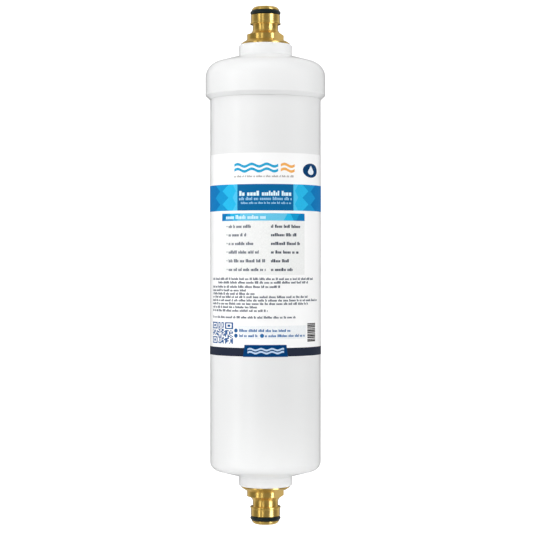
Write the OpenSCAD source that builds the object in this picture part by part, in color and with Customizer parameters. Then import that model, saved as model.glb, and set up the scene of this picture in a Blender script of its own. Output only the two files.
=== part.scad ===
// Inline water filter: a pressure canister with a welded cap, a carbon cartridge
// inside it and a brass click-on hose nipple screwed into the port at each end.
// Millimetres. +Z runs along the filter from the outlet nipple's tip, at the
// origin, to the inlet nipple's tip. The wrench flats face +X, turned towards -Y.

/* [Canister] */
// Outside diameter of the canister
body_d = 63.8; // [62:0.1:64.5]
// Distance between the two port faces
port_span = 254; // [240:1:300]
// Wall of the canister and of the cap
wall = 3.2; // [2.8:0.1:3.6]
// Outside diameter of the two ports
port_d = 30.6; // [29:0.1:31]
// Height of the outlet port below the canister's shoulder
outlet_port_h = 5.7; // [5:0.1:8]
// Slope of the canister's shoulder
body_slope = 14.6; // [10:0.1:16]
// Outside radius of the canister's lower corner
body_corner_r = 5.4; // [4.5:0.1:7]

/* [Cap] */
// Outside diameter of the cap
cap_d = 69.2; // [68:0.1:70]
// Distance from the inlet port face to the end of the cap's skirt
cap_h = 31.6; // [30:0.1:34]
// Height of the inlet port above the cap's shoulder
inlet_port_h = 6.5; // [5:0.1:8]
// Slope of the cap's shoulder
cap_slope = 15.1; // [10:0.1:16]
// Outside radius of the cap's shoulder
cap_corner_r = 9.5; // [8:0.1:10]

/* [Hose nipple] */
// Height of a nipple above its port face
nipple_h = 22; // [21.6:0.1:23]
// Diameter of the latch ring that a hose coupling grips
latch_d = 17.6; // [17.2:0.1:17.8]
// Diameter of the barrel between the latch ring and the O-ring
barrel_d = 16.8; // [16.2:0.1:17]
// Diameter of the neck behind the latch ring
neck_d = 14.6; // [13.6:0.1:15]
// Diameter of the collar that carries the wrench flats
collar_d = 21.8; // [20.2:0.1:22]
// Distance across the two wrench flats
wrench_w = 17; // [16.5:0.1:18]
// Diameter of the flange that closes on the port face
flange_d = 28; // [26:0.1:28.4]
// Diameter of the water way through the nose
nose_bore_d = 10; // [9:0.1:10.4]

/* [Thread] */
// Threads to the inch
threads_per_inch = 18; // [18:1:20]
// Turns of thread in each port
thread_turns = 8; // [6:1:8]
// Thread diameter at the large end of the taper
thread_d = 13.6; // [13.4:0.1:13.8]

/* [Cartridge] */
// Outside diameter of the carbon block
block_d = 44; // [40:0.5:45]
// Diameter of the bore through the carbon block
block_bore_d = 14; // [12:0.5:15]
// Thickness of the sediment wrap around the block
wrap_t = 0.8; // [0.5:0.1:1]
// Thickness of the net around the wrap
net_t = 0.7; // [0.5:0.1:0.8]

/* [Label] */
// Height of the label
label_h = 114.2; // [60:0.1:120]
// Height of the label's lower edge above the outlet port face
label_lift = 75.7; // [50:0.1:80]
// Angle that the label covers
label_angle = 350; // [180:1:356]
// Thickness of the label
label_t = 0.12; // [0.08:0.01:0.2]

/* [Hidden] */

$fn = 96;
gap = 0.04;                            // running clearance
inch = 25.4;

body_r = body_d / 2;
cap_r = cap_d / 2;
port_r = port_d / 2;
port_rim_r = 1;                        // rounding of a port's outer rim
outlet_face = nipple_h;                // heights of the two port faces
inlet_face = outlet_face + port_span;
chamber_r = body_r - wall;             // inside of the canister

// Ports: a tapered thread seat, a counterbore for the washer and a water passage.
pitch = inch / threads_per_inch;
thread_top = 1.6;                      // depth of the first thread below the port face
thread_end = thread_top + thread_turns * pitch;
thread_taper = 1 / 32;                 // radius lost along the thread, 1 in 16 on diameter
tape_t = 0.12;
seat_depth = thread_end + 1.1;
seat_web = 2.8;                        // wall between a thread seat and the chamber
passage_r = 4;
washer_t = 1.2;
washer_r = 9.3;
washer_bore_r = 7.05;
counterbore_r = washer_r + 0.2;
function tape_r(depth) = thread_d / 2 + tape_t - depth * thread_taper;

// Outlet socket inside the canister, which the cartridge's spigot plugs into.
socket_r = 10.05;
socket_wall = 3.4;
socket_floor = outlet_face + seat_depth + seat_web;
socket_rim = socket_floor + 13;

// Canister and cap.
body_arc_z = outlet_face + outlet_port_h
    + (body_r - body_corner_r * (1 - sin(body_slope)) - port_r) * tan(body_slope)
    + body_corner_r * cos(body_slope);
cap_arc_z = inlet_face - inlet_port_h
    - (cap_r - cap_corner_r * (1 - sin(cap_slope)) - port_r) * tan(cap_slope)
    - cap_corner_r * cos(cap_slope);
skirt_end = inlet_face - cap_h;
skirt_chamfer = 2.3;
skirt_edge = 0.3;                      // flat left at the end of the skirt
weld_step = 0.15;                      // the weld land is this much under the body
weld_gap = 0.02;                       // film of weld between the land and the skirt
weld_land_start = skirt_end - 0.2;
rim_z = cap_arc_z - 0.4;               // top of the canister, against the cap's ledge
boss_r = 11;                           // boss around the inlet passage, inside the cap
boss_end = inlet_face - seat_depth - seat_web;

// Cartridge, from the socket up.
plate_t = 3;
bond_t = 1;
block_r = block_d / 2;
wrap_r = block_r + wrap_t;
net_r = wrap_r + net_t;
cup_wall = 1.6;
cup_lip = 4;                           // overlap of an end cap's rim with the block
spider_h = 18.4;
block_base = socket_rim + plate_t + bond_t;
block_top = boss_end - spider_h - plate_t - bond_t;
block_h = block_top - block_base;
core_t = 0.4;
spigot_r = 9.8;
spigot_bore_r = 5;
spigot_cord = 2.4;
spigot_ring_r = socket_r - 0.05 - spigot_cord / 2;
spigot_rings = [socket_floor + 4, socket_floor + 9];

// Nipple, measured up from the port face.
flange_rim = 0.8;                      // thickness of the flange at its rim
flange_top = 2.8;                      // top of the flange's bevel, where the collar starts
collar_top = 5;
neck_start = 7.6;
flat_base = 2;                         // lower end of the wrench flats, cut into the bevel
latch_z = 11.8;
latch_w = 0.9;
barrel_start = latch_z + latch_w + 0.6;
oring_z = 18.5;
oring_cord = 2.4;
oring_ring_r = 7.55;
groove_w = 2.7;
nose_taper = 0.3;                      // the nose is this much under the barrel
nose_round = 3.4;
nose_land = 0.2;                       // flat left between the nose's rounding and its bore
thread_bore_r = 3.9;
nose_bore_depth = 17;
flat_turn = -26;                       // direction that one wrench flat faces

// Points along an arc about centre c.
function arc(c, r, from, to, n = 16) =
    [for (i = [0:n]) c + r * [cos(from + (to - from) * i / n), sin(from + (to - from) * i / n)]];

module turned(points) rotate_extrude($fn = 128) polygon(points);

module tube(outer, inner, from, to) {
    translate([0, 0, from])
        difference() {
            cylinder(r = outer, h = to - from);
            translate([0, 0, -1]) cylinder(r = inner, h = to - from + 2);
        }
}

// A port's openings, cut upwards from a face at zero: counterbore, thread seat, passage.
module port_cut(through) {
    translate([0, 0, -1]) cylinder(r = counterbore_r, h = washer_t + 1);
    translate([0, 0, washer_t - 0.01])
        cylinder(
            r1 = tape_r(washer_t) + gap,
            r2 = tape_r(seat_depth) + gap,
            h = seat_depth - washer_t + 0.01
        );
    cylinder(r = passage_r, h = through);
}

module canister() {
    slope = tan(body_slope);
    corner = [body_r - body_corner_r, body_arc_z];
    inner_corner = [chamber_r - 2.6, body_arc_z - 0.1];
    inner_start = inner_corner + 2.6 * [sin(body_slope), -cos(body_slope)];
    floor_z = inner_start[1] - (inner_start[0] - socket_r - socket_wall) * slope;
    shell = concat(
        [[0, outlet_face]],
        arc([port_r - port_rim_r, outlet_face + port_rim_r], port_rim_r, -90, 0, 6),
        [[port_r, outlet_face + outlet_port_h]],
        arc(corner, body_corner_r, -90 + body_slope, 0),
        [
            [body_r, weld_land_start],
            [body_r - weld_step, weld_land_start],
            [body_r - weld_step, rim_z],
            [chamber_r, rim_z]
        ],
        arc(inner_corner, 2.6, 0, -90 + body_slope, 8),
        [
            [socket_r + socket_wall, floor_z],
            [socket_r + socket_wall, socket_rim],
            [socket_r, socket_rim],
            [socket_r, socket_floor],
            [0, socket_floor]
        ]
    );
    color("white")
        difference() {
            turned(shell);
            translate([0, 0, outlet_face]) port_cut(seat_depth + seat_web + 1);
        }
}

module end_cap() {
    slope = tan(cap_slope);
    corner = [cap_r - cap_corner_r, cap_arc_z];
    inner_corner = [chamber_r - 5.5, cap_arc_z + 0.6];
    inner_start = inner_corner + 5.5 * [sin(cap_slope), cos(cap_slope)];
    ceiling_z = inner_start[1] + (inner_start[0] - boss_r) * slope;
    skirt_r = body_r - weld_step + weld_gap;
    shell = concat(
        [[0, inlet_face]],
        arc([port_r - port_rim_r, inlet_face - port_rim_r], port_rim_r, 90, 0, 6),
        [[port_r, inlet_face - inlet_port_h]],
        arc(corner, cap_corner_r, 90 - cap_slope, 0, 20),
        [
            [cap_r, skirt_end + skirt_chamfer],
            [body_r + skirt_edge, skirt_end],
            [skirt_r, skirt_end],
            [skirt_r, rim_z],
            [chamber_r, rim_z]
        ],
        arc(inner_corner, 5.5, 0, 90 - cap_slope, 10),
        [[boss_r, ceiling_z], [boss_r, boss_end], [0, boss_end]]
    );
    color("white")
        difference() {
            turned(shell);
            translate([0, 0, inlet_face]) rotate([180, 0, 0]) port_cut(seat_depth + seat_web + 1);
        }
}

// Printed sleeve, open along a seam at the back.
module label() {
    color("deepskyblue")
        translate([0, 0, outlet_face + label_lift])
            rotate([0, 0, 90 + (360 - label_angle) / 2])
                rotate_extrude(angle = label_angle, $fn = 256)
                    translate([body_r, 0]) square([label_t, label_h]);
}

// Adapter in its own frame: port face at zero, nose up, thread down.
module adapter(flat_direction) {
    notch = 0.8;
    nose_centre = [barrel_d / 2 - nose_taper - nose_round, nipple_h - nose_round];
    nose_start_r = nose_bore_d / 2 + nose_land;
    lip_z = oring_z + groove_w / 2;
    thread_ridges = [
        for (i = [0:thread_turns - 2], side = [0:2])
            let (
                z = -thread_top - pitch * (i + [0.5, 1, 1.5][side]),
                crest = thread_d / 2 + z * thread_taper
            )
            [side == 1 ? crest - notch : crest, z + [0.12, 0, -0.12][side]]
    ];
    outline = concat(
        [[0, nipple_h], [nose_start_r, nipple_h]],
        arc(
            nose_centre, nose_round,
            acos((nose_start_r - nose_centre[0]) / nose_round),
            asin((lip_z - nose_centre[1]) / nose_round), 8
        ),
        [
            [oring_ring_r - oring_cord / 2, lip_z],
            [oring_ring_r - oring_cord / 2, oring_z - groove_w / 2],
            [barrel_d / 2, oring_z - groove_w / 2],
            [barrel_d / 2, barrel_start],
            [latch_d / 2, latch_z + latch_w],
            [latch_d / 2, latch_z],
            [neck_d / 2, latch_z],
            [neck_d / 2, neck_start],
            [collar_d / 2, collar_top],
            [collar_d / 2, flange_top],
            [flange_d / 2, flange_rim],
            [flange_d / 2, 0],
            [washer_bore_r - 0.45, 0],
            [washer_bore_r - 0.45, -washer_t],
            [thread_d / 2 - thread_top * thread_taper, -thread_top]
        ],
        thread_ridges,
        [
            [thread_d / 2 - thread_end * thread_taper - 0.3, -thread_end],
            [0, -thread_end]
        ]
    );
    flat_l = neck_start - flat_base;
    color("goldenrod")
        difference() {
            turned(outline);
            translate([0, 0, nipple_h - nose_bore_depth]) cylinder(d = nose_bore_d, h = nipple_h);
            translate([0, 0, -thread_end - 1]) cylinder(r = thread_bore_r, h = 2 * nipple_h);
            for (side = [0, 180])
                rotate([0, 0, flat_direction + side])
                    translate([wrench_w / 2, -flange_d / 2, flat_base]) cube([collar_d, flange_d, flat_l]);
        }
}

module adapter_oring() {
    color("darkslategray")
        translate([0, 0, oring_z])
            rotate_extrude($fn = 128) translate([oring_ring_r, 0]) circle(d = oring_cord, $fn = 48);
}

// Thread sealing tape, wound over the thread below the washer.
module adapter_tape() {
    top = thread_top;
    end = thread_end - 0.7;
    color("snow")
        difference() {
            translate([0, 0, -end])
                cylinder(r1 = tape_r(end), r2 = tape_r(top), h = end - top);
            translate([0, 0, -end - 1])
                cylinder(
                    r1 = tape_r(end + 1) - tape_t + 0.01,
                    r2 = tape_r(top - 1) - tape_t + 0.01,
                    h = end - top + 2
                );
        }
}

module adapter_washer() {
    color("dimgray") tube(washer_r, washer_bore_r, -washer_t, 0);
}

module at_inlet() translate([0, 0, inlet_face]) children();

module at_outlet() translate([0, 0, outlet_face]) rotate([180, 0, 0]) children();

module carbon_block() {
    color("black") tube(block_r, block_bore_d / 2, block_base, block_top);
}

module sediment_wrap() {
    color("ivory") tube(wrap_r, block_r, block_base, block_top);
}

// Plastic net: evenly spaced hoops joined by long strands.
module netting_sleeve() {
    hoops = 13;
    strands = 12;
    hoop_h = 1.2;
    strand_w = 1.2;
    inset = 0.1;                       // strands lie inside the thickness of the hoops
    rise = (block_h - hoop_h) / (hoops - 1);
    color("lightskyblue")
        union() {
            for (i = [0:hoops - 1])
                tube(net_r, wrap_r, block_base + i * rise, block_base + i * rise + hoop_h);
            for (i = [0:strands - 1])
                rotate([0, 0, i * 360 / strands])
                    translate([wrap_r + inset, -strand_w / 2, block_base + inset])
                        cube([net_t - 2 * inset, strand_w, block_h - 2 * inset]);
        }
}

module core_wrap() {
    color("white") tube(block_bore_d / 2, block_bore_d / 2 - core_t, block_base, block_top);
}

// Cup that seals the inlet end of the block.
module closed_end_cap() {
    top = block_top + bond_t + plate_t;
    cup_r = net_r + 0.1;
    color("aliceblue")
        turned([
            [0, top],
            [cup_r + cup_wall - 0.6, top],
            [cup_r + cup_wall, top - 0.6],
            [cup_r + cup_wall, block_top - cup_lip],
            [cup_r, block_top - cup_lip],
            [cup_r, block_top + bond_t],
            [0, block_top + bond_t]
        ]);
}

// Cup at the outlet end, with the spigot that plugs into the canister's socket.
module open_end_cap() {
    cup_r = net_r + 0.1;
    groove = spigot_cord + 0.3;
    groove_floor = spigot_ring_r - spigot_cord / 2;
    grooves = [
        for (z = spigot_rings, corner = [[1, -1], [0, -1], [0, 1], [1, 1]])
            [corner[0] ? spigot_r : groove_floor, z + corner[1] * groove / 2]
    ];
    color("aliceblue")
        turned(concat(
            [
                [spigot_bore_r, socket_floor + 0.6],
                [spigot_r - 0.8, socket_floor + 0.6],
                [spigot_r, socket_floor + 1.6]
            ],
            grooves,
            [
                [spigot_r, socket_rim],
                [cup_r + cup_wall - 0.6, socket_rim],
                [cup_r + cup_wall, socket_rim + 0.6],
                [cup_r + cup_wall, block_base + cup_lip],
                [cup_r, block_base + cup_lip],
                [cup_r, socket_rim + plate_t],
                [spigot_bore_r, socket_rim + plate_t]
            ]
        ));
}

module upper_bond_disc() {
    color("wheat") translate([0, 0, block_top]) cylinder(r = net_r, h = bond_t);
}

module lower_bond_ring() {
    color("wheat") tube(net_r, block_bore_d / 2, block_base - bond_t, block_base);
}

module spigot_oring(z) {
    color("black")
        translate([0, 0, z])
            rotate_extrude() translate([spigot_ring_r, 0]) circle(d = spigot_cord, $fn = 48);
}

// Four fins on a ring: they centre the cartridge and press it into its socket.
module centring_spider() {
    base = block_top + bond_t + plate_t;
    fin_t = 2;
    fin_h = 9;
    color("gainsboro")
        union() {
            tube(12, 9.5, base, base + 5);
            for (i = [0:3])
                rotate([0, 0, 45 + i * 90])
                    translate([0, -fin_t / 2, base]) {
                        translate([8, 0, 0]) cube([chamber_r - 0.4 - 8, fin_t, fin_h]);
                        translate([6, 0, 0]) cube([6, fin_t, spider_h]);
                    }
        }
}

canister();
end_cap();
label();
at_inlet() adapter(flat_turn);  // inlet_adapter
at_inlet() adapter_oring();  // inlet_oring
at_inlet() adapter_tape();  // inlet_thread_tape
at_inlet() adapter_washer();  // inlet_washer
at_outlet() adapter(-flat_turn);  // outlet_adapter
at_outlet() adapter_oring();  // outlet_oring
at_outlet() adapter_tape();  // outlet_thread_tape
at_outlet() adapter_washer();  // outlet_washer
carbon_block();
sediment_wrap();
netting_sleeve();
core_wrap();
closed_end_cap();
open_end_cap();
upper_bond_disc();
lower_bond_ring();
spigot_oring(spigot_rings[0]);  // spigot_oring_lower
spigot_oring(spigot_rings[1]);  // spigot_oring_upper
centring_spider();
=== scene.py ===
"""Looks of the inline water filter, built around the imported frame.

Lengths in the shape code are millimetres and become metres when a mesh is made.
+Z runs from the outlet nipple's tip to the inlet nipple's, the front faces -Y.
"""

import math
import random

import bmesh
import bpy
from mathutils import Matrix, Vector


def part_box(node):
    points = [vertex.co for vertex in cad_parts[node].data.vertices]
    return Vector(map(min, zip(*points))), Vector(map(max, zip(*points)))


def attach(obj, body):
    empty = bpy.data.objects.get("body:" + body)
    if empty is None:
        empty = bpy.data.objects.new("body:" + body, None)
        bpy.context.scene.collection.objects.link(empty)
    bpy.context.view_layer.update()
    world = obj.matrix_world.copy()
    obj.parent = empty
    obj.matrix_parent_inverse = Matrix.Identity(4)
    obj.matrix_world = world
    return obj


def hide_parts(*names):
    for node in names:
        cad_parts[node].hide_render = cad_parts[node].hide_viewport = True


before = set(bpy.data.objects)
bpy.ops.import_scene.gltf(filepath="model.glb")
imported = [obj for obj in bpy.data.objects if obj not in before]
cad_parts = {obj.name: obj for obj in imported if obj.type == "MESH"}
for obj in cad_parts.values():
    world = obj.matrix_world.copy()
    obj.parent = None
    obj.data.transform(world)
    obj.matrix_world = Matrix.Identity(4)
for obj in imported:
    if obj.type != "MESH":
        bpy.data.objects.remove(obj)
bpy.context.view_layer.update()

MM = 0.001


# ---------------------------------------------------------------- places

def heights(node):
    """Lowest and highest point of a CAD node, in mm."""
    low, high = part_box(node)
    return low.z / MM, high.z / MM


OUTLET_FACE, RIM = heights("canister")
SKIRT_END, INLET_FACE = heights("end_cap")
LABEL_LOW, LABEL_TOP = heights("label")
SOCKET_RIM = heights("lower_bond_ring")[0] - 3.0
BODY_R = 31.9
CAP_R = 34.6
LABEL_T = 0.12
LABEL_R = BODY_R + LABEL_T
PRINT_HALF = LABEL_R * math.radians(174.5)   # how far the bands run round to each side
PORT_R = 15.3
OUTLET_PORT_H = 5.7
INLET_PORT_H = 6.5
BODY_SLOPE, CAP_SLOPE = 14.6, 15.1      # shoulder angles, in degrees
BODY_CORNER, CAP_CORNER = 5.4, 9.5      # outer roundings of the shoulders
SKIRT_CHAMFER = 2.3
CHAMBER_R = 28.7
PASSAGE_R = 4.0
COUNTERBORE_R = 9.5
SOCKET_R = 10.05

PITCH = 25.4 / 18
THREAD_R = 6.8
TAPER = 1 / 32
THREAD_TOP = 1.6
THREAD_END = THREAD_TOP + 8 * PITCH
SEAT_DEPTH = THREAD_END + 1.1
WEB = 2.8
THREAD_ROWS = 14 * 8                    # rows of points along a thread
TAPE_T = 0.12
GAP = 0.04                              # between a port's thread and the taped nipple
WASHER_T = 1.2

NIPPLE_H = 22
NOSE_ROUND = 2.7
BARREL_R = 8.4
LATCH_R, LATCH_Z = 8.8, 11.8
NECK_R = 7.3
SHOULDER_ROUND = 3.1
COLLAR_R = 10.9
FLANGE_R = 14.0
GROOVE_R, GROOVE_LOW, GROOVE_TOP = 6.35, 17.15, 19.85


# ---------------------------------------------------------------- mesh tools

def rounded(points, max_turn=12):
    """Outline through (r, z) points; a third number rounds that corner to that radius."""
    out = []
    n = len(points)
    for i, p in enumerate(points):
        here = Vector(p[:2])
        r = p[2] if len(p) > 2 else 0
        if not r:
            out.append(tuple(here))
            continue
        before = Vector(points[i - 1][:2]) - here
        after = Vector(points[(i + 1) % n][:2]) - here
        bend = before.angle(after)
        reach = r / math.tan(bend / 2)
        longest = 0.499 * min(before.length, after.length)
        if reach > longest:
            r *= longest / reach
            reach = longest
        centre = here + (before.normalized() + after.normalized()).normalized() * (r / math.sin(bend / 2))
        start = here + before.normalized() * reach - centre
        end = here + after.normalized() * reach - centre
        turn = start.angle(end)
        sign = 1 if start.x * end.y - start.y * end.x > 0 else -1
        steps = max(2, math.ceil(math.degrees(turn) / max_turn))
        for k in range(steps + 1):
            a = sign * turn * k / steps
            spoke = Vector((start.x * math.cos(a) - start.y * math.sin(a),
                            start.x * math.sin(a) + start.y * math.cos(a)))
            out.append(tuple(centre + spoke))
    return out


def mesh_object(name, verts, faces, sharp=30):
    """Closed mesh in metres from mm, normals outwards, smooth but for edges over sharp degrees."""
    mesh = bpy.data.meshes.new(name)
    mesh.from_pydata([(x * MM, y * MM, z * MM) for x, y, z in verts], [], faces)
    bm = bmesh.new()
    bm.from_mesh(mesh)
    bmesh.ops.recalc_face_normals(bm, faces=bm.faces)
    bm.to_mesh(mesh)
    bm.free()
    mesh.shade_smooth()
    mesh.set_sharp_from_angle(angle=math.radians(sharp))
    obj = bpy.data.objects.new(name, mesh)
    bpy.context.scene.collection.objects.link(obj)
    return obj


def lathe(name, outline, turns=256, shape=None, place=None, sharp=30):
    """Turns a closed (r, z) loop round the axis.

    shape(r, z, angle) may change r, and place(x, y, z) moves a point.
    """
    place = place or (lambda x, y, z: (x, y, z))
    verts = []
    for r, z in outline:
        for j in range(turns):
            a = 2 * math.pi * j / turns
            q = shape(r, z, a) if shape else r
            verts.append(place(q * math.cos(a), q * math.sin(a), z))
    faces = []
    rows = len(outline)
    for i in range(rows):
        for j in range(turns):
            k = (j + 1) % turns
            h = (i + 1) % rows
            faces.append((i * turns + j, i * turns + k, h * turns + k, h * turns + j))
    obj = mesh_object(name, verts, faces, sharp)
    weights = obj.modifiers.new("even_normals", "WEIGHTED_NORMAL")
    weights.keep_sharp = True
    return obj


def inlet_place(x, y, z):
    return x, y, INLET_FACE + z


def outlet_place(x, y, z):
    return x, -y, OUTLET_FACE - z


def finish_piece(obj, body, material, replaces=()):
    """What every piece needs: material, body and the CAD nodes it stands for."""
    obj.data.materials.clear()
    obj.data.materials.append(material)
    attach(obj, body)
    if replaces:
        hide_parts(*replaces)
    return obj


# ---------------------------------------------------------------- materials

def srgb(code):
    """Linear colour from a hex code."""
    out = []
    for i in (0, 2, 4):
        c = int(code[i:i + 2], 16) / 255
        out.append(c / 12.92 if c <= 0.04045 else ((c + 0.055) / 1.055) ** 2.4)
    return (*out, 1)


class Nodes:
    """A material's node tree with short calls to add to it."""

    def __init__(self, name):
        self.material = bpy.data.materials.new(name)
        self.material.use_nodes = True
        self.tree = self.material.node_tree
        self.shader = self.tree.nodes["Principled BSDF"]
        self.place = self.add("ShaderNodeTexCoord").outputs["Object"]

    def add(self, kind, **settings):
        node = self.tree.nodes.new(kind)
        for key, value in settings.items():
            setattr(node, key, value)
        return node

    def link(self, a, b):
        self.tree.links.new(a, b)

    def set(self, **values):
        for key, value in values.items():
            self.shader.inputs[key.replace("_", " ")].default_value = value

    def math(self, operation, a, b=0.0):
        node = self.add("ShaderNodeMath", operation=operation)
        for socket, value in zip(node.inputs, (a, b)):
            if isinstance(value, (int, float)):
                socket.default_value = value
            else:
                self.link(value, socket)
        return node.outputs[0]

    def noise(self, scale, detail=2.0, rough=0.5, vector=None):
        node = self.add("ShaderNodeTexNoise")
        node.inputs["Scale"].default_value = scale
        node.inputs["Detail"].default_value = detail
        node.inputs["Roughness"].default_value = rough
        self.link(vector or self.place, node.inputs["Vector"])
        return node.outputs["Fac"]

    def turned(self):
        """(distance from the axis, height): makes a texture run in rings."""
        split = self.add("ShaderNodeSeparateXYZ")
        self.link(self.place, split.inputs[0])
        x_squared, y_squared = (self.math("POWER", split.outputs[i], 2.0) for i in (0, 1))
        squares = self.math("ADD", x_squared, y_squared)
        join = self.add("ShaderNodeCombineXYZ")
        self.link(self.math("SQRT", squares), join.inputs[0])
        self.link(split.outputs[2], join.inputs[1])
        return join.outputs[0]

    def ramp(self, factor, stops):
        node = self.add("ShaderNodeValToRGB")
        elements = node.color_ramp.elements
        while len(elements) < len(stops):
            elements.new(0.5)
        for element, (at, colour) in zip(elements, stops):
            element.position = at
            element.color = colour
        self.link(factor, node.inputs[0])
        return node.outputs["Color"]

    def grey_range(self, factor, low, high, start=0.3, end=0.7):
        node = self.add("ShaderNodeMapRange")
        node.inputs["From Min"].default_value = start
        node.inputs["From Max"].default_value = end
        node.inputs["To Min"].default_value = low
        node.inputs["To Max"].default_value = high
        self.link(factor, node.inputs["Value"])
        return node.outputs["Result"]

    def bump(self, *layers):
        """Layers of (height factor, distance in mm), one on the other."""
        normal = None
        for factor, distance in layers:
            node = self.add("ShaderNodeBump")
            node.inputs["Strength"].default_value = 1.0
            node.inputs["Distance"].default_value = distance * MM
            self.link(factor, node.inputs["Height"])
            if normal:
                self.link(normal, node.inputs["Normal"])
            normal = node.outputs["Normal"]
        self.link(normal, self.shader.inputs["Normal"])

    def colour(self, socket):
        self.link(socket, self.shader.inputs["Base Color"])

    def roughness(self, socket):
        self.link(socket, self.shader.inputs["Roughness"])


def tinted(colour, factor):
    """The same colour, lighter or darker."""
    return (*(min(1.0, c * factor) for c in colour[:3]), 1)


def white_plastic():
    n = Nodes("white_moulded_plastic")
    base = (0.80, 0.805, 0.805, 1)
    n.colour(n.ramp(n.noise(18, 3), [(0.3, tinted(base, 0.985)), (0.7, tinted(base, 1.01))]))
    n.roughness(n.grey_range(n.noise(140, 3), 0.34, 0.42))
    n.bump((n.noise(45, 2), 0.03), (n.noise(2600, 2), 0.0015))
    n.set(IOR=1.49, Specular_IOR_Level=0.3, Coat_Weight=0.9, Coat_Roughness=0.28, Coat_IOR=1.5)
    return n.material


def label_film():
    n = Nodes("label_film")
    n.colour(n.ramp(n.noise(60, 2), [(0.3, (0.955, 0.957, 0.96, 1)), (0.7, (0.97, 0.97, 0.97, 1))]))
    n.roughness(n.grey_range(n.noise(400, 2), 0.36, 0.42))
    n.bump((n.noise(70, 2), 0.02), (n.noise(3200, 2), 0.0015))
    n.set(IOR=1.5, Specular_IOR_Level=0.3, Coat_Weight=0.9, Coat_Roughness=0.28, Coat_IOR=1.5)
    return n.material


def ink(name, code):
    n = Nodes("ink_" + name)
    base = srgb(code)
    n.colour(n.ramp(n.noise(1800, 2), [(0.3, tinted(base, 0.95)), (0.7, tinted(base, 1.05))]))
    n.roughness(n.grey_range(n.noise(900, 2), 0.40, 0.48))
    n.set(IOR=1.45, Specular_IOR_Level=0.03)
    return n.material


def brass():
    n = Nodes("turned_brass")
    rings = n.turned()
    fine = n.noise(9000, 3, 0.6, rings)
    broad = n.noise(700, 2, 0.5, rings)
    stain = n.noise(120, 3)
    n.colour(n.ramp(stain, [(0.25, (0.83, 0.55, 0.13, 1)), (0.75, (0.91, 0.62, 0.16, 1))]))
    n.roughness(n.grey_range(fine, 0.31, 0.37))
    n.bump((broad, 0.0008), (fine, 0.0004))
    n.set(Metallic=1.0, Anisotropic=0.9, Anisotropic_Rotation=0.25, Coat_Weight=0.12, Coat_Roughness=0.15)
    return n.material


def rubber(name, code, rough=0.42):
    n = Nodes(name)
    base = srgb(code)
    n.colour(n.ramp(n.noise(900, 3), [(0.3, tinted(base, 0.8)), (0.7, tinted(base, 1.25))]))
    n.roughness(n.grey_range(n.noise(2500, 2), rough, rough + 0.12))
    n.bump((n.noise(5000, 2), 0.004))
    n.set(IOR=1.5, Specular_IOR_Level=0.35)
    return n.material


def seal_tape():
    n = Nodes("seal_tape")
    rings = n.turned()
    wound = n.noise(2500, 3, 0.6, rings)
    n.colour(n.ramp(wound, [(0.3, (0.80, 0.80, 0.78, 1)), (0.7, (0.93, 0.93, 0.92, 1))]))
    n.roughness(n.grey_range(n.noise(1500, 2), 0.42, 0.6))
    n.bump((n.noise(4000, 3, 0.6, rings), 0.01))
    n.set(IOR=1.36, Subsurface_Weight=0.15, Subsurface_Radius=(0.001, 0.001, 0.001))
    return n.material


def grainy(name, dark, light, scale, depth, rough):
    """Pressed or felted matter: speckled colour and a grain of that depth in mm."""
    n = Nodes(name)
    speckle = n.noise(scale, 4, 0.7)
    n.colour(n.ramp(speckle, [(0.35, dark), (0.65, light)]))
    n.roughness(n.grey_range(speckle, rough, rough + 0.15))
    n.bump((speckle, depth), (n.noise(scale * 0.2, 2), depth * 2))
    return n.material


WHITE = white_plastic()
FILM = label_film()
BRASS = brass()
ORING = rubber("oring_rubber", "0c1a19", 0.30)
WASHER = rubber("washer_rubber", "35383a", 0.55)
TAPE = seal_tape()


# ---------------------------------------------------------------- canister and cap

def seat_radius(depth):
    """Crest of a port's thread, just clear of the taped nipple."""
    return THREAD_R + TAPE_T + GAP - depth * TAPER


def thread_groove(z, angle, handed=1):
    """0 on the crest of a right-handed thread to 1 in its root, with z measured out of the port."""
    phase = z / PITCH - handed * angle / (2 * math.pi)
    t = abs(2 * (phase % 1) - 1)
    return min(1.0, max(0.0, 1.18 * t - 0.09))


def fade(depth, start, end, run):
    """Eases a thread in and out over run mm at each end."""
    return max(0.0, min(1.0, (depth - start) / run, (end - depth) / run))


def port_loop():
    """Water passage, thread seat, counterbore and rim of a port: (r, depth below the face)."""
    seat = [(seat_radius(SEAT_DEPTH), SEAT_DEPTH)]
    for i in range(THREAD_ROWS + 1):
        d = SEAT_DEPTH - 0.1 - (SEAT_DEPTH - WASHER_T - 0.2) * i / THREAD_ROWS
        seat.append((seat_radius(d), d))
    return [(PASSAGE_R, SEAT_DEPTH, 0.15)] + seat + [
        (seat_radius(WASHER_T), WASHER_T), (COUNTERBORE_R, WASHER_T, 0.1),
        (COUNTERBORE_R, 0, 0.25), (PORT_R, 0, 1.0),
    ]


def port_thread(r, depth, angle):
    """Cuts the port's thread outwards from its seat."""
    if abs(r - seat_radius(depth)) > 0.004 or not WASHER_T < depth < SEAT_DEPTH:
        return r
    return r + 0.72 * thread_groove(-depth, angle) * fade(depth, WASHER_T + 0.1, SEAT_DEPTH - 0.2, 0.9)


def cone_reach(slope, inner_r, outer_r):
    return (outer_r - inner_r) * math.tan(math.radians(slope))


def shoulder_arc(port_h, slope, outer_r, corner_r):
    """Depth of the centre of a shoulder's outer rounding below the port face."""
    s = math.radians(slope)
    return port_h + (outer_r - corner_r * (1 - math.sin(s)) - PORT_R) * math.tan(s) + corner_r * math.cos(s)


def inner_wall(centre_r, centre_d, r, slope):
    """Corner where the inside of a shoulder meets the chamber wall, with depth growing inwards."""
    s = math.radians(slope)
    start_r = centre_r + r * math.sin(s)
    start_d = centre_d - r * math.cos(s)
    return start_d + (CHAMBER_R - start_r) * math.tan(s)


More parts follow.
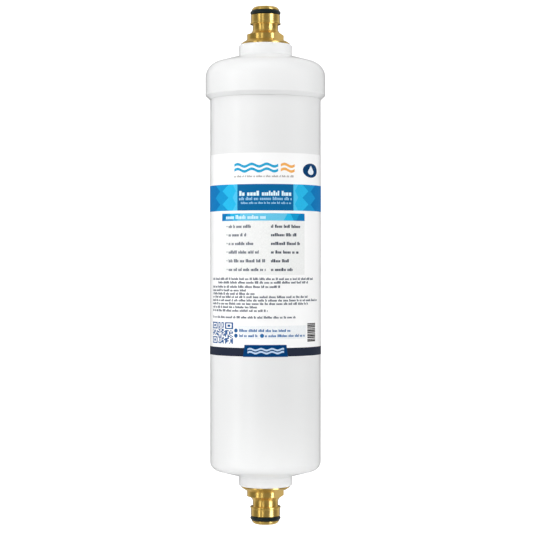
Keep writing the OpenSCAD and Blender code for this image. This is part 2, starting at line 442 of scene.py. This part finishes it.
def canister():
    corner = OUTLET_PORT_H + cone_reach(BODY_SLOPE, PORT_R, BODY_R)
    arc_depth = shoulder_arc(OUTLET_PORT_H, BODY_SLOPE, BODY_R, BODY_CORNER)
    inner_r = 2.6
    inside = inner_wall(CHAMBER_R - inner_r, arc_depth - 0.1, inner_r, BODY_SLOPE)
    boss_r = 13.45
    floor = inside - cone_reach(BODY_SLOPE, boss_r, CHAMBER_R)
    rim = RIM - OUTLET_FACE
    land = SKIRT_END - 0.2 - OUTLET_FACE
    socket_floor = SEAT_DEPTH + WEB
    socket_rim = SOCKET_RIM - OUTLET_FACE
    loop = port_loop() + [
        (PORT_R, OUTLET_PORT_H, 0.6), (BODY_R, corner, BODY_CORNER), (BODY_R, land, 0.06),
        (BODY_R - 0.15, land), (BODY_R - 0.15, rim, 0.3), (CHAMBER_R, rim, 0.3),
        (CHAMBER_R, inside, inner_r), (boss_r, floor, 1.2),
        (boss_r, socket_rim, 0.5), (SOCKET_R, socket_rim, 0.8), (SOCKET_R, socket_floor, 0.3),
        (PASSAGE_R, socket_floor, 0.4),
    ]
    obj = lathe("canister_shell", rounded(loop), 256,
                shape=lambda r, d, a: port_thread(r, d, -a),
                place=lambda x, y, d: (x, -y, OUTLET_FACE + d))
    return finish_piece(obj, "filter_body", WHITE, ["canister"])


def end_cap():
    corner = INLET_PORT_H + cone_reach(CAP_SLOPE, PORT_R, CAP_R)
    arc_depth = shoulder_arc(INLET_PORT_H, CAP_SLOPE, CAP_R, CAP_CORNER)
    inner_r = 5.5
    inside = inner_wall(CHAMBER_R - inner_r, arc_depth - 0.6, inner_r, CAP_SLOPE)
    boss_r = 11.0
    ceiling = inside - cone_reach(CAP_SLOPE, boss_r, CHAMBER_R)
    skirt = INLET_FACE - SKIRT_END
    ledge = INLET_FACE - RIM
    skirt_r = BODY_R - 0.13
    boss_end = SEAT_DEPTH + WEB
    loop = port_loop() + [
        (PORT_R, INLET_PORT_H, 0.6), (CAP_R, corner, CAP_CORNER), (CAP_R, skirt - SKIRT_CHAMFER, 0.5),
        (BODY_R + 0.3, skirt, 0.15), (skirt_r, skirt, 0.05), (skirt_r, ledge),
        (CHAMBER_R, ledge), (CHAMBER_R, inside, inner_r),
        (boss_r, ceiling, 1.5), (boss_r, boss_end, 0.5), (PASSAGE_R, boss_end, 0.4),
    ]
    obj = lathe("cap_shell", rounded(loop, 8), 256,
                shape=lambda r, d, a: port_thread(r, d, a),
                place=lambda x, y, d: (x, y, INLET_FACE - d))
    return finish_piece(obj, "filter_body", WHITE, ["end_cap"])


# ---------------------------------------------------------------- nipples

FLAT_REACH = 8.5
FLAT_BASE = 2.0
FLAT_TOP = 9.0
FLAT_TURN = math.radians(-26)


def nipple_loop():
    """The brass nipple's section, port face at zero and nose up."""
    thread = []
    for i in range(THREAD_ROWS + 1):
        d = THREAD_TOP + (THREAD_END - 0.5 - THREAD_TOP) * i / THREAD_ROWS
        thread.append((THREAD_R - d * TAPER, -d))
    end_r = THREAD_R - THREAD_END * TAPER - 0.45
    nose = []
    for i in range(9):
        a = math.radians(84 - (84 - 11.7) * i / 8)
        nose.append((5.3 + NOSE_ROUND * math.cos(a), NIPPLE_H - NOSE_ROUND + NOSE_ROUND * math.sin(a)))
    shoulder = []
    for i in range(9):
        a = math.radians(180 + 75 * i / 8)
        shoulder.append((NECK_R + SHOULDER_ROUND * (1 + math.cos(a)), 9.25 + SHOULDER_ROUND * math.sin(a)))
    loop = rounded([(5.2, NIPPLE_H)] + nose + [
        (GROOVE_R, GROOVE_TOP, 0.15), (GROOVE_R, GROOVE_LOW, 0.15), (BARREL_R, GROOVE_LOW, 0.12),
        (BARREL_R, 13.3, 0.4), (LATCH_R, 12.35, 0.08), (LATCH_R, LATCH_Z, 0.06), (NECK_R, LATCH_Z, 0.3),
    ] + shoulder + [
        (COLLAR_R, 5.85, 0.25), (COLLAR_R, 2.8), (12.12, FLAT_BASE + 0.013), (12.14, FLAT_BASE),
        (FLANGE_R, 0.8, 0.15), (FLANGE_R, 0, 0.12), (6.6, 0, 0.1), (6.6, -WASHER_T, 0.1),
    ] + thread + [
        (end_r, -THREAD_END, 0.1), (3.9, -THREAD_END, 0.25), (3.9, 4.6, 0.1),
        (5.0, 5.2, 0.1), (5.0, 21.7, 0.05),
    ], 8)
    # More rows where the flats cut the slopes.
    out = []
    for a, b in zip(loop, loop[1:] + loop[:1]):
        out.append(a)
        sloped = min(a[1], b[1]) > FLAT_BASE and max(a[1], b[1]) < FLAT_TOP and min(a[0], b[0]) > NECK_R
        steps = math.ceil(abs(b[0] - a[0]) / 0.25) if sloped else 1
        out += [(a[0] + (b[0] - a[0]) * k / steps, a[1] + (b[1] - a[1]) * k / steps) for k in range(1, steps)]
    return out


def nipple_shape(flat_turn):
    """Cuts the thread and the two wrench flats."""
    def shape(r, z, angle):
        if -THREAD_END < z <= -THREAD_TOP + 0.001 and r > 5.5:
            depth = -z
            crest = THREAD_R - depth * TAPER
            if abs(r - crest) < 0.004:
                run = fade(depth, THREAD_TOP - 0.1, THREAD_END - 0.3, 0.9)
                return r - 0.78 * (1 - thread_groove(z, angle)) * run
        if FLAT_BASE + 0.005 < z < FLAT_TOP and r > FLAT_REACH:
            toward = abs(math.cos(angle - flat_turn))
            if toward * r > FLAT_REACH:
                return FLAT_REACH / toward
        return r
    return shape


def tape_loop():
    """Thin sleeve of wound tape over the thread."""
    top, end = THREAD_TOP + 0.05, THREAD_END - 0.75
    outer = []
    for i in range(THREAD_ROWS + 1):
        d = top + (end - top) * i / THREAD_ROWS
        outer.append((THREAD_R + 0.115 - d * TAPER, -d))
    inner = [(r - 0.075, z) for r, z in reversed(outer)]
    return outer + inner


def tape_shape(r, z, angle):
    depth = -z
    sunk = 0.34 * (1 - thread_groove(z, angle)) * fade(depth, THREAD_TOP - 0.1, THREAD_END - 0.6, 0.9)
    return r - sunk


def oring_loop(r, z, cord, flash=0.035, steps=40):
    """Round cord with the thin seam that its mould leaves inside and outside."""
    out = []
    for i in range(steps):
        a = 2 * math.pi * i / steps
        seam = flash if i in (0, steps // 2) else 0
        out.append((r + (cord / 2 + seam) * math.cos(a), z + (cord / 2) * math.sin(a)))
    return out


def washer_loop():
    return rounded([(6.95, 0, 0.08), (9.3, 0, 0.12), (9.3, -WASHER_T, 0.12), (6.95, -WASHER_T, 0.08)])


def nipple(end, place, flat_turn):
    body, seal = end + "_nipple", end + "_seal"
    brass_piece = lathe(end + "_nipple_brass", nipple_loop(), 288, nipple_shape(flat_turn), place, 13)
    finish_piece(brass_piece, body, BRASS, [end + "_adapter"])
    finish_piece(lathe(end + "_nose_oring", oring_loop(7.55, 18.5, 2.35), 160, None, place, 60),
                 body, ORING, [end + "_oring"])
    finish_piece(lathe(end + "_tape_winding", tape_loop(), 160, tape_shape, place, 50),
                 body, TAPE, [end + "_thread_tape"])
    finish_piece(lathe(end + "_face_washer", washer_loop(), 128, None, place, 50),
                 seal, WASHER, [end + "_washer"])
    return brass_piece


# ---------------------------------------------------------------- label

STEP = 1.0          # width of the strips that a flat shape is bent in
INK_T = 0.010
INK_LIFT = 0.004
INK_LAYER = 0.014


def wrapped(u, z, r):
    """A place on the label: u mm to the right of the front, at height z, r from the axis."""
    a = u / LABEL_R
    return r * math.sin(a), -r * math.cos(a), z


def bent_sheet(name, shapes, r_low, r_high):
    """Flat polygons in (u, z), cut in strips, given a thickness and bent round the axis as closed slabs."""
    bm = bmesh.new()
    for shape in shapes:
        bm.faces.new([bm.verts.new((u, z, 0)) for u, z in shape])
    spread = [v.co.x for v in bm.verts]
    first, last = math.floor(min(spread) / STEP) + 1, math.ceil(max(spread) / STEP)
    for k in range(first, last):
        bmesh.ops.bisect_plane(bm, geom=bm.verts[:] + bm.edges[:] + bm.faces[:],
                               plane_co=(k * STEP, 0, 0), plane_no=(1, 0, 0), dist=1e-5)
    bm.verts.index_update()
    count = len(bm.verts)
    flat = [(v.co.x, v.co.y) for v in bm.verts]
    verts = [wrapped(u, z, r_low) for u, z in flat] + [wrapped(u, z, r_high) for u, z in flat]
    faces = []
    for f in bm.faces:
        loop = [v.index for v in f.verts]
        faces.append(tuple(i + count for i in loop))
        faces.append(tuple(reversed(loop)))
    for e in bm.edges:
        if len(e.link_faces) == 1:
            a, b = (v.index for v in e.verts)
            faces.append((a, b, b + count, a + count))
    bm.free()
    return mesh_object(name, verts, faces, 40)


def rect(u0, u1, z0, z1):
    return [(u0, z0), (u1, z0), (u1, z1), (u0, z1)]


def disc(u, z, r, steps=28, wide=1.0):
    """A round spot, or an oval that many times as wide as tall."""
    return [(u + wide * r * math.cos(2 * math.pi * i / steps), z + r * math.sin(2 * math.pi * i / steps))
            for i in range(steps)]


def code_square(rng, u, z, wide, tall, cells):
    """A block filled with seeded specks and a framed square in three corners; it holds no data."""
    across, up = wide / cells, tall / cells
    out = []

    def box(i0, j0, i1, j1):
        out.append(rect(u + i0 * across, u + i1 * across, z + j0 * up, z + j1 * up))

    corners = [(0, 0), (0, cells - 6), (cells - 6, cells - 6)]
    for i, j in corners:
        box(i, j, i + 6, j + 1)
        box(i, j + 5, i + 6, j + 6)
        box(i, j + 1, i + 1, j + 5)
        box(i + 5, j + 1, i + 6, j + 5)
        box(i + 2, j + 2, i + 4, j + 4)
    for j in range(cells):
        i = 0
        while i < cells:
            free = all(not (a - 1 <= i < a + 7 and b - 1 <= j < b + 7) for a, b in corners)
            run = rng.choice((1, 1, 2, 3))
            if free and rng.random() < 0.8:
                stop = i + 1
                while stop < min(i + run, cells) and all(not (a - 1 <= stop < a + 7 and b - 1 <= j < b + 7)
                                                         for a, b in corners):
                    stop += 1
                box(i, j + 0.03, stop - 0.06, j + 0.97)
                i = stop
            i += 1
    return out


def blocks(rng, u0, u1, z, height, weight=0.62):
    """A line of plain blocks in word-like groups: stands for small print, and says nothing."""
    out = []
    u = u0
    cell = height * 0.62
    while u < u1 - cell * 0.5:
        for _ in range(rng.randint(2, 8)):
            if u > u1 - cell * 0.5:
                break
            tall = rng.random() < 0.3
            width = cell * rng.choice((0.6, 0.8, 1.0)) * weight / 0.62
            top = z + height * (0.5 if tall else 0.18)
            out.append(rect(u, min(u + width * 0.8, u1), z - height / 2, top))
            u += width
        u += cell * 0.75
    return out


def wave(u0, u1, z, thick, rise, period, steps_per_mm=3):
    """A wavy stripe, as quads."""
    n = int((u1 - u0) * steps_per_mm)
    us = [u0 + (u1 - u0) * i / n for i in range(n + 1)]
    line = [z + rise * math.sin(2 * math.pi * (u - u0) / period) for u in us]
    return [[(us[i], line[i] - thick / 2), (us[i + 1], line[i + 1] - thick / 2),
             (us[i + 1], line[i + 1] + thick / 2), (us[i], line[i] + thick / 2)] for i in range(n)]


def two_waves(u0, u1, z_high, z_low, thick, rise, period):
    """The same wavy stripe at two heights."""
    return [quad for z in (z_high, z_low) for quad in wave(u0, u1, z, thick, rise, period)]


def zigzag(near, far, start):
    """Distances from the front at the band's five levels, alternating between near and far."""
    return [near if (i + start) % 2 else far for i in range(5)]


BAND_LOW, BAND_TOP = 179.6, 194.4
BAND_HALF = 16.4


def band_zones():
    """The blue band's four tones on each side of its centre block, with zigzag borders."""
    borders = [
        [PRINT_HALF] * 5,
        zigzag(29.5, 34.5, 0), zigzag(22.6, 27.4, 1), zigzag(17.4, 19.6, 0),
        [BAND_HALF] * 5,
    ]
    levels = [BAND_LOW + (BAND_TOP - BAND_LOW) * i / 4 for i in range(5)]
    zones = []
    for outer, inner in zip(borders, borders[1:]):
        quads = []
        for i in range(4):
            quads.append([(inner[i], levels[i]), (outer[i], levels[i]),
                          (outer[i + 1], levels[i + 1]), (inner[i + 1], levels[i + 1])])
        zones.append(quads + [[(-u, z) for u, z in reversed(q)] for q in quads])
    return zones


def label():
    rng = random.Random(7)
    half = LABEL_R * math.radians(175)
    sheet = bent_sheet("label_sheet", [rect(-half, half, LABEL_LOW, LABEL_TOP)], BODY_R, LABEL_R)
    finish_piece(sheet, "filter_body", FILM, ["label"])

    prints = []

    def add(name, code, layer, shapes):
        prints.append((name, code, layer, shapes))

    # Head: two plain wavy stripes, a line of blocks and a badge with a drop. The badge is wider than
    # tall, so that it looks round from the front.
    add("wave_blue", "2ba5d2", 0, two_waves(-18.4, 7.2, 204.9, 202.2, 1.5, 0.7, 8.5))
    add("wave_orange", "efae5c", 0, two_waves(8.7, 17.2, 204.9, 202.2, 1.5, 0.7, 8.5))
    add("tagline_grey", "a9a4a0", 0, blocks(rng, -18.8, 16.7, 198.8, 1.2, 0.5))
    add("badge_navy", "053a69", 0, [disc(29.8, 202.5, 4.0, 36, 1.72)])
    drop = [(29.8, 205.3)]
    for degrees in range(30, -211, -20):
        a = math.radians(degrees)
        drop.append((29.8 + 2.7 * math.cos(a), 201.7 + 1.65 * math.sin(a)))
    add("badge_drop", "e6edf4", 1, [list(reversed(drop))])

    # Band.
    tones = ["0b74b5", "1893cc", "29b5e4", "4cc0ea"]
    for (name, zone), code in zip(zip(["deep", "mid", "bright", "pale"], band_zones()), tones):
        add("band_" + name, code, 0, zone)
    add("band_block", "10659b", 0, [rect(-BAND_HALF, BAND_HALF, BAND_LOW, BAND_TOP)])
    add("band_print", "dcf0fb", 1, blocks(rng, -15.2, 15.9, 189.2, 2.7, 0.66))
    soft_print = blocks(rng, -15.3, 15.8, 186.3, 1.8, 0.55) + blocks(rng, -14.2, 14.8, 183.9, 1.2, 0.5)
    add("band_print_soft", "8fc0e2", 1, soft_print)

    # Table: a coloured head bar over a grey panel with six rows.
    left, right = -27.8, 24.3
    low, top = 173.9, 178.05
    cuts = [left, -24.6, -20.5, -15.5, 11.5, 15.6, 19.4, right]
    lean = [0, 1.2, -1.2, 1.2, 1.2, -1.2, 1.2, 0]
    codes = ["0c73b3", "1890ca", "30b2e0", "66c4e6", "28b6e6", "1496cc", "0b7cbb"]
    for i, code in enumerate(codes):
        add("bar_%d" % i, code, 0, [[(cuts[i] - lean[i], low), (cuts[i + 1] - lean[i + 1], low),
                                     (cuts[i + 1] + lean[i + 1], top), (cuts[i] + lean[i], top)]])
    add("bar_print", "d4effa", 1, blocks(rng, -24.4, 0.4, 176.0, 2.2, 0.6))
    add("panel_grey", "eeefee", 0, [rect(left, right, 143.55, low)])
    rows = [170.8, 166.05, 161.2, 156.4, 151.5, 146.65]
    names = [-7.5, -11.0, -6.9, -3.3, 0.3, 0.5]
    values = [21.3, 19.8, 21.0, 20.3, 13.6, 16.1]
    row_print, value_print = [], []
    for z, a, b in zip(rows, names, values):
        row_print += [disc(-23.7, z, 0.35, 10)] + blocks(rng, -22.5, a, z, 1.8, 0.54)
        value_print += blocks(rng, 3.1, b, z, 1.8, 0.66)
    add("row_print", "606774", 1, row_print)
    add("value_print", "444b59", 1, value_print)

    # Notes.
    notes = [(141.4, 32.0), (139.4, 27.6), (137.0, 8.8), (135.0, -11.0), (133.1, -5.8), (131.3, 27.1),
             (129.4, 36.8), (127.5, 28.0), (125.6, -4.7), (123.6, 1.5), (119.9, 18.0)]
    note_print = []
    for i, (z, end) in enumerate(notes):
        start = -31.5 if i == 1 else -38.0
        note_print += blocks(rng, start, end, z, 1.35, 0.56)
    add("note_print", "545b69", 0, note_print)

    # Foot: a square of specks, a contact panel, plain bars, the dark stripe and its tab.
    add("square_blue", "1f5793", 0, code_square(rng, -38.4, 104.9, 19.1, 12.0, 19))
    add("contact_grey", "eef1f3", 0, [rect(-16.2, 25.4, 107.7, 115.2)])
    contact = blocks(rng, -15.2, 14.8, 112.5, 1.5, 0.55) + blocks(rng, -15.2, -3.9, 109.6, 1.5, 0.55) \
        + blocks(rng, -0.2, 24.9, 109.6, 1.5, 0.55)
    add("contact_print", "2f6ca6", 1, contact + [disc(-1.9, 109.6, 1.15, 20)])
    add("contact_dots", "2c5f96", 0, [disc(-17.4, 112.4, 1.15, 20), disc(-17.4, 109.5, 1.15, 20)])
    bars = [rect(26.6, 34.4, 105.9 + 0.98 * i, 106.68 + 0.98 * i - 0.2 * (i % 3 == 1)) for i in range(11)]
    add("bars_black", "343130", 0, bars)
    add("stripe_navy", "272d3d", 0, [rect(-PRINT_HALF, PRINT_HALF, LABEL_LOW + 0.25, 102.75)])
    tab_low, tab_top = LABEL_LOW + 0.05, 104.5
    add("tab_blue", "023c72", 1, [[(-12.9, tab_low), (12.9, tab_low), (12.1, tab_top), (-12.0, tab_top)]])
    add("tab_wave", "bcd2ea", 2, two_waves(-10.2, 10.6, 101.9, 100.2, 1.0, 0.45, 6.2))

    for name, code, layer, shapes in prints:
        lift = LABEL_R + INK_LIFT + layer * INK_LAYER
        obj = bent_sheet("print_" + name, shapes, lift, lift + INK_T)
        finish_piece(obj, "filter_body", ink(name, code))


# ---------------------------------------------------------------- inside

def inside():
    """The cartridge keeps its CAD shapes and gets its materials here."""
    end_plastic = Nodes("cartridge_plastic")
    mottle = end_plastic.noise(60, 3)
    end_plastic.colour(end_plastic.ramp(mottle, [(0.3, (0.78, 0.82, 0.84, 1)), (0.7, (0.84, 0.87, 0.88, 1))]))
    end_plastic.roughness(end_plastic.grey_range(end_plastic.noise(300), 0.38, 0.5))
    end_plastic.bump((end_plastic.noise(1800, 2), 0.01))
    net = Nodes("net_plastic")
    net.colour(net.ramp(net.noise(300, 3), [(0.3, (0.70, 0.78, 0.86, 1)), (0.7, (0.82, 0.87, 0.92, 1))]))
    net.roughness(net.grey_range(net.noise(900), 0.3, 0.45))
    net.set(Transmission_Weight=0.2, IOR=1.49)
    black, dark_grey = (0.006, 0.006, 0.006, 1), (0.030, 0.030, 0.031, 1)
    looks = {
        "carbon_block": grainy("pressed_carbon", black, dark_grey, 1800, 0.08, 0.7),
        "sediment_wrap": grainy("felt", (0.74, 0.72, 0.66, 1), (0.88, 0.87, 0.82, 1), 1400, 0.06, 0.85),
        "core_wrap": grainy("core_fabric", (0.80, 0.80, 0.78, 1), (0.92, 0.92, 0.90, 1), 2600, 0.03, 0.8),
        "netting_sleeve": net.material,
        "closed_end_cap": end_plastic.material,
        "open_end_cap": end_plastic.material,
        "centring_spider": end_plastic.material,
        "upper_bond_disc": grainy("hot_melt", (0.66, 0.55, 0.33, 1), (0.76, 0.66, 0.45, 1), 160, 0.05, 0.3),
        "spigot_oring_lower": ORING,
        "spigot_oring_upper": ORING,
    }
    looks["lower_bond_ring"] = looks["upper_bond_disc"]
    for node, material in looks.items():
        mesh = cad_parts[node].data
        mesh.materials.clear()
        mesh.materials.append(material)


# ---------------------------------------------------------------- studio

def around(azimuth, distance, height):
    """A point round the filter: azimuth 0 is towards the camera, and grows to the right."""
    a = math.radians(azimuth)
    return Vector((distance * math.sin(a), -distance * math.cos(a), height))


def card(name, azimuth, distance, height, wide, tall, power, gloss=True, colour=(1, 1, 1), only=None):
    """A rectangular light that faces the filter.

    gloss says whether it shows in reflections, and only says which pieces it lights.
    """
    data = bpy.data.lights.new(name, "AREA")
    data.shape = "RECTANGLE"
    data.size, data.size_y = wide, tall
    data.energy = power
    data.color = colour
    obj = bpy.data.objects.new(name, data)
    obj.location = around(azimuth, distance, height)
    target = Vector((0, 0, 0.149))
    obj.rotation_mode = "QUATERNION"
    obj.rotation_quaternion = (target - obj.location).to_track_quat("-Z", "Y")
    obj.visible_camera = False
    obj.visible_glossy = gloss
    if only:
        group = bpy.data.collections.new(name + "_lights")
        for piece in only:
            group.objects.link(piece)
        obj.light_linking.receiver_collection = group
    bpy.context.scene.collection.objects.link(obj)


def pool(name, azimuth, distance, height, target_z, spread, power):
    """A soft spot on one end of the filter, spread degrees across, target_z in mm."""
    data = bpy.data.lights.new(name, "SPOT")
    data.energy = power
    data.spot_size = math.radians(spread)
    data.spot_blend = 1.0
    data.shadow_soft_size = 0.03
    obj = bpy.data.objects.new(name, data)
    obj.location = around(azimuth, distance, height)
    obj.rotation_mode = "QUATERNION"
    obj.rotation_quaternion = (Vector((0, 0, target_z * MM)) - obj.location).to_track_quat("-Z", "Y")
    obj.visible_camera = False
    obj.visible_glossy = False
    bpy.context.scene.collection.objects.link(obj)


def stage_sheet(name, verts, faces, strength):
    """White floor or backdrop: glows a little so that it stays plain."""
    mesh = bpy.data.meshes.new(name)
    mesh.from_pydata(verts, [], faces)
    mesh.shade_smooth()
    obj = bpy.data.objects.new(name, mesh)
    bpy.context.scene.collection.objects.link(obj)
    material = bpy.data.materials.new(name)
    material.use_nodes = True
    shader = material.node_tree.nodes["Principled BSDF"]
    shader.inputs["Base Color"].default_value = (0.9, 0.9, 0.9, 1)
    shader.inputs["Roughness"].default_value = 1.0
    shader.inputs["Specular IOR Level"].default_value = 0.0
    shader.inputs["Emission Color"].default_value = (1, 1, 1, 1)
    shader.inputs["Emission Strength"].default_value = strength
    mesh.materials.append(material)
    return obj


def studio(metal, rest):
    floor_z, far, steps = -0.16, 6.0, 64
    turns = [2 * math.pi * i / steps for i in range(steps)]
    ring = [(far * math.cos(a), far * math.sin(a)) for a in turns]
    floor = stage_sheet("floor", [(x, y, floor_z) for x, y in ring], [tuple(range(steps))], 1.0)
    wall = stage_sheet("backdrop", [(x, y, floor_z) for x, y in ring] + [(x, y, 6.0) for x, y in ring],
                       [(i, (i + 1) % steps, (i + 1) % steps + steps, i + steps) for i in range(steps)], 1.2)
    for obj in (floor, wall):
        obj.visible_glossy = False
        obj.visible_diffuse = False
        obj.visible_transmission = False
        obj.visible_shadow = False

    world = bpy.data.worlds.new("studio")
    bpy.context.scene.world = world
    world.use_nodes = True
    tree = world.node_tree
    back = tree.nodes["Background"]
    where = tree.nodes.new("ShaderNodeTexCoord")
    split = tree.nodes.new("ShaderNodeSeparateXYZ")
    tree.links.new(where.outputs["Generated"], split.inputs[0])

    def tone(axis, levels):
        """Grey that follows a direction's part along one axis, -1 to 1."""
        spread = tree.nodes.new("ShaderNodeMapRange")
        spread.inputs["From Min"].default_value = -1
        spread.inputs["From Max"].default_value = 1
        tree.links.new(split.outputs[axis], spread.inputs["Value"])
        ramp = tree.nodes.new("ShaderNodeValToRGB")
        stops = ramp.color_ramp.elements
        while len(stops) < len(levels):
            stops.new(0.5)
        for stop, (at, v) in zip(stops, levels):
            stop.position = (at + 1) / 2
            stop.color = (v, v, v, 1)
        tree.links.new(spread.outputs["Result"], ramp.inputs[0])
        return ramp.outputs["Color"]

    both = tree.nodes.new("ShaderNodeVectorMath")
    both.operation = "ADD"
    depth_tones = [(-1, 0.17), (-0.3, 0.17), (0.12, 0.18), (0.35, 0.40), (0.58, 0.62), (0.74, 0.62),
                   (0.86, 0.12), (1, 0.04)]
    height_tones = [(-1, 0.20), (-0.5, 0.18), (-0.16, 0.02), (0.16, 0.02), (0.5, 0.16), (1, 0.22)]
    tree.links.new(tone(1, depth_tones), both.inputs[0])
    tree.links.new(tone(2, height_tones), both.inputs[1])
    tree.links.new(both.outputs[0], back.inputs["Color"])
    back.inputs["Strength"].default_value = 1.0

    # Tall strips that draw the streaks on the brass.
    card("streak_left", -51, 0.95, 0.15, 0.20, 2.4, 2.5, only=metal)
    card("streak_left_inner", -22, 1.30, 0.15, 0.20, 2.4, 2.0, only=metal)
    card("streak_right", 50, 1.10, 0.15, 0.46, 2.4, 12.0, colour=(0.9, 1.0, 1.5), only=metal)
    # Strips that shape the white body.
    card("strip_left", -61, 0.95, 0.15, 0.22, 0.9, 1.0, only=rest)
    card("strip_left_inner", -31, 1.30, 0.15, 0.22, 0.9, 0.9, only=rest)
    # Soft fill that shades the white body, brighter from the left.
    card("fill_left", -68, 1.3, 0.45, 1.0, 1.0, 7.8, gloss=False)
    card("fill_right", 74, 1.3, 0.35, 1.0, 1.0, 10.9, gloss=False)
    card("above", -25, 0.8, 1.2, 1.0, 1.0, 7.5, gloss=False)
    card("below", -10, 0.7, -0.95, 1.0, 1.0, 7.8, gloss=False)
    # Soft pools of light on the two ports.
    pool("pool_inlet", 10, 1.2, 0.30, INLET_FACE + 14, 5.0, 12.0)
    pool("pool_outlet", 10, 1.2, 0.0, OUTLET_FACE - 14, 4.8, 18.0)


def camera():
    data = bpy.data.cameras.new("camera")
    data.lens = 114.4
    data.sensor_width = 36
    obj = bpy.data.objects.new("camera", data)
    obj.location = (0.0006, -0.977, 0.1483)
    obj.rotation_euler = (math.radians(90), 0, 0)
    data.clip_start = 0.05
    data.clip_end = 50
    bpy.context.scene.collection.objects.link(obj)
    bpy.context.scene.camera = obj


camera()
canister()
end_cap()
inlet_brass = nipple("inlet", inlet_place, FLAT_TURN)
outlet_brass = nipple("outlet", outlet_place, -FLAT_TURN)
label()
inside()
metal = [inlet_brass, outlet_brass]
studio(metal, [obj for obj in bpy.context.scene.objects if obj.type == "MESH" and obj not in metal])

bpy.context.scene.view_settings.view_transform = "Standard"
